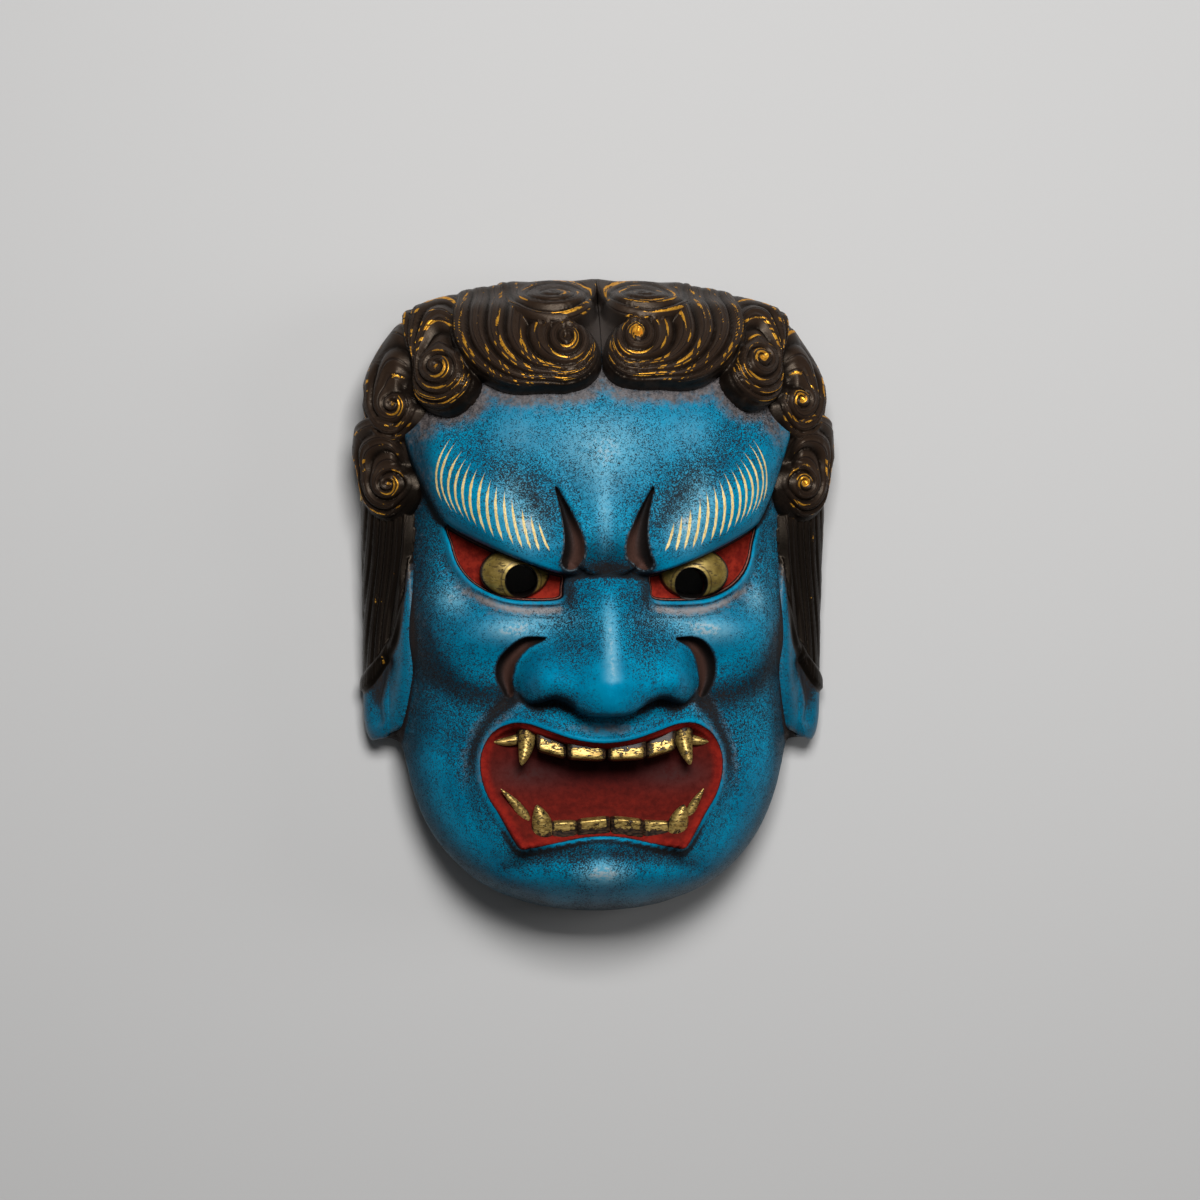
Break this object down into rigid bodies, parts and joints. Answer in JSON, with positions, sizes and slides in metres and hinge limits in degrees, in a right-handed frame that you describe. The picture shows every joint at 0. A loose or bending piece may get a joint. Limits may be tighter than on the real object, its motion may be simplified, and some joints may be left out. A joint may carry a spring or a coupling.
{
  "type": "buddhist deity mask",
  "caption": "Carved and painted wooden mask of a wrathful guardian deity with scrolled hair, bulging brows, fangs and long ear lobes, hollow behind, with sight holes and cord eyelets.",
  "frame": {"origin": "centre of the bounding box on the plane of the flat back rim, on which the mask lies face up", "axes": "+Y up the face towards the hair, +Z out of the face away from the wearer, +X to the right as the face is looked at"},
  "size_m": [0.1756, 0.232, 0.0909],
  "materials": {
    "painted_wood": "satin blue paint with dark speckle, black-brown hair rubbed with gold, gilt teeth and eyes",
    "brass": "worn brass"
  },
  "bodies": {
    "root": {"mask": "painted_wood", "cord_eyelet_left": "brass", "cord_eyelet_right": "brass"}
  },
  "joints": []
}
